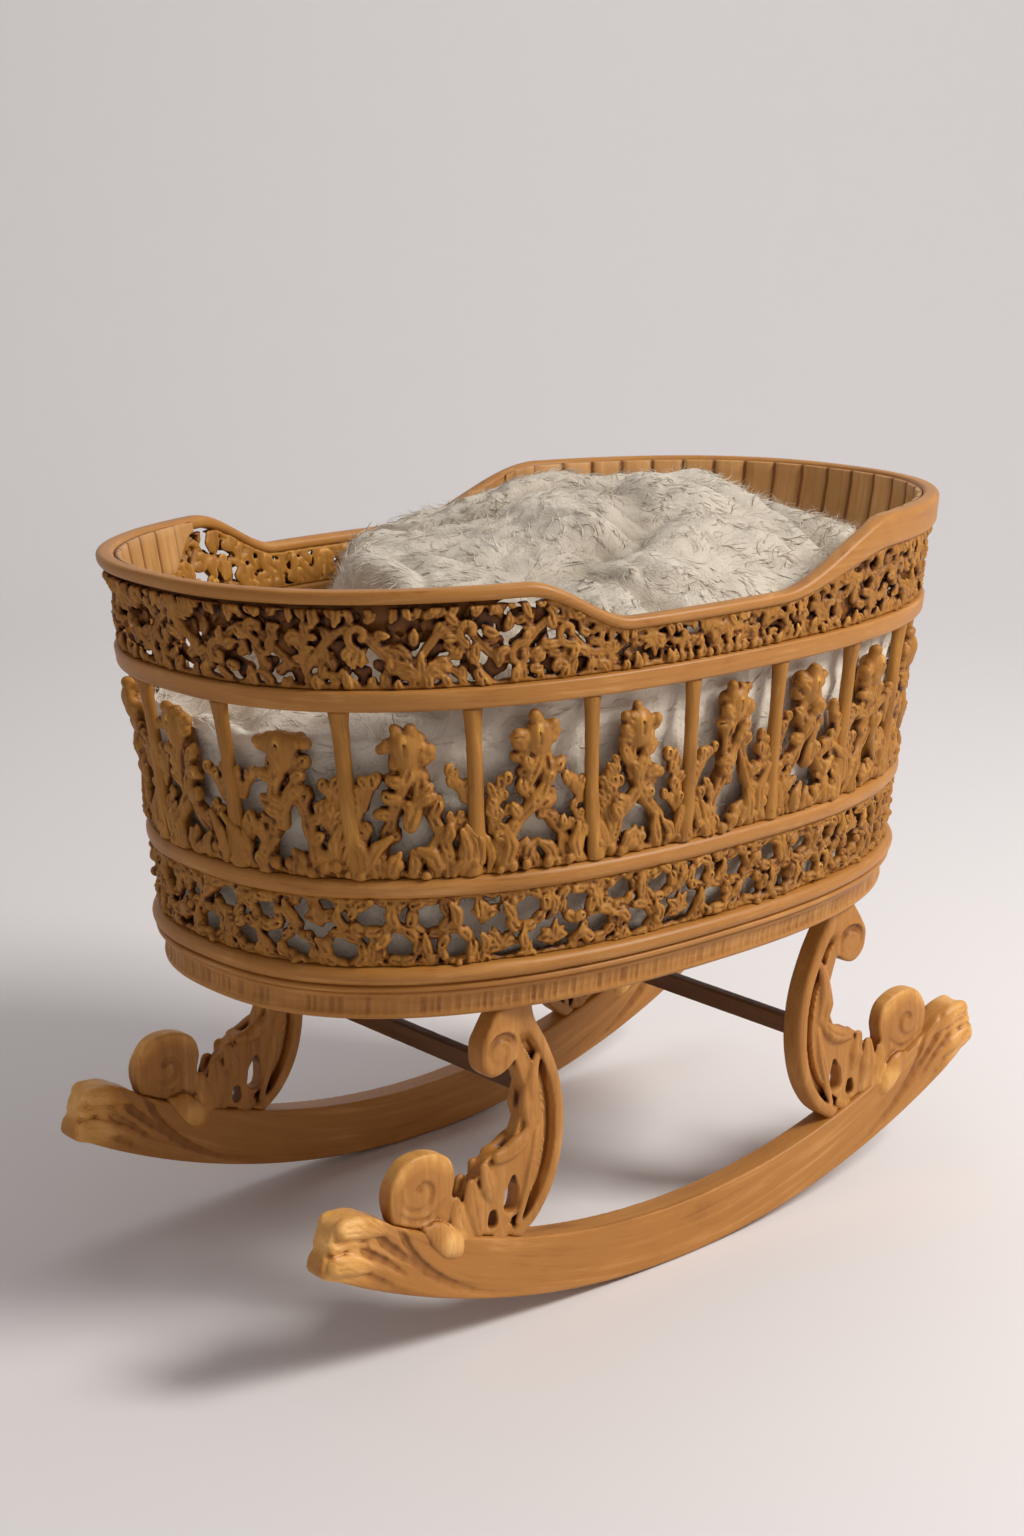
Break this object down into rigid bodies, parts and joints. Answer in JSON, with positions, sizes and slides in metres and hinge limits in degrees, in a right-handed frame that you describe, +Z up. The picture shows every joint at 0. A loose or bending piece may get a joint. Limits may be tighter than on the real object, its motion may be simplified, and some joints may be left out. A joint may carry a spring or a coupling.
{
  "type": "baby cradle",
  "caption": "Oval carved openwork cradle tub on two curved rockers with scrolled legs, holding a lift-out pad and a loose fleece.",
  "frame": {"origin": "on the floor, under the middle of the tub", "axes": "+X to the head end along the rockers, +Y across to the far side, +Z up"},
  "size_m": [0.9446, 0.5842, 0.7551],
  "materials": {
    "rail_wood": "satin",
    "carved_wood": "satin",
    "stave_wood": "satin",
    "board_wood": "matte",
    "leg_wood": "satin",
    "rocker_wood": "satin",
    "stretcher_wood": "satin",
    "pad_cloth": "woven",
    "fleece": "fluffy"
  },
  "bodies": {
    "cradle": {"base_moulding": "rail_wood", "floor_board": "board_wood", "fluted_skirt": "carved_wood", "foot_lining": "stave_wood", "head_lining": "stave_wood", "leg_foot_far": "leg_wood", "leg_foot_near": "leg_wood", "leg_head_far": "leg_wood", "leg_head_near": "leg_wood", "lower_frieze_far": "carved_wood", "lower_frieze_foot": "carved_wood", "lower_frieze_head": "carved_wood", "lower_frieze_near": "carved_wood", "middle_ring_far": "rail_wood", "middle_ring_foot": "rail_wood", "middle_ring_head": "rail_wood", "middle_ring_near": "rail_wood", "rib_01": "carved_wood", "rib_02": "carved_wood", "rib_03": "carved_wood", "rib_04": "carved_wood", "rib_05": "carved_wood", "rib_06": "carved_wood", "rib_07": "carved_wood", "rib_08": "carved_wood", "rib_09": "carved_wood", "rib_10": "carved_wood", "rib_11": "carved_wood", "rib_12": "carved_wood", "rib_13": "carved_wood", "rib_14": "carved_wood", "rib_15": "carved_wood", "rib_16": "carved_wood", "rib_17": "carved_wood", "rib_18": "carved_wood", "rib_19": "carved_wood", "rib_20": "carved_wood", "rim_rail_far": "rail_wood", "rim_rail_foot": "rail_wood", "rim_rail_head": "rail_wood", "rim_rail_near": "rail_wood", "rocker_far": "rocker_wood", "rocker_near": "rocker_wood", "stretcher_foot": "stretcher_wood", "stretcher_head": "stretcher_wood", "upper_frieze_far": "carved_wood", "upper_frieze_foot": "carved_wood", "upper_frieze_head": "carved_wood", "upper_frieze_near": "carved_wood", "upper_ring_far": "rail_wood", "upper_ring_foot": "rail_wood", "upper_ring_head": "rail_wood", "upper_ring_near": "rail_wood", "vine_panel_far": "carved_wood", "vine_panel_foot": "carved_wood", "vine_panel_head": "carved_wood", "vine_panel_near": "carved_wood"},
    "pad": {"pad": "pad_cloth"},
    "fleece": {"fleece": "fleece"}
  },
  "joints": [
    {"name": "pad_lift", "type": "slide", "parent": "cradle", "child": "pad", "axis": [0, 0, 1], "range_m": [0, 0.41]},
    {"name": "fleece_lift", "type": "slide", "parent": "pad", "child": "fleece", "axis": [0, 0, 1], "range_m": [0, 0.38]}
  ]
}
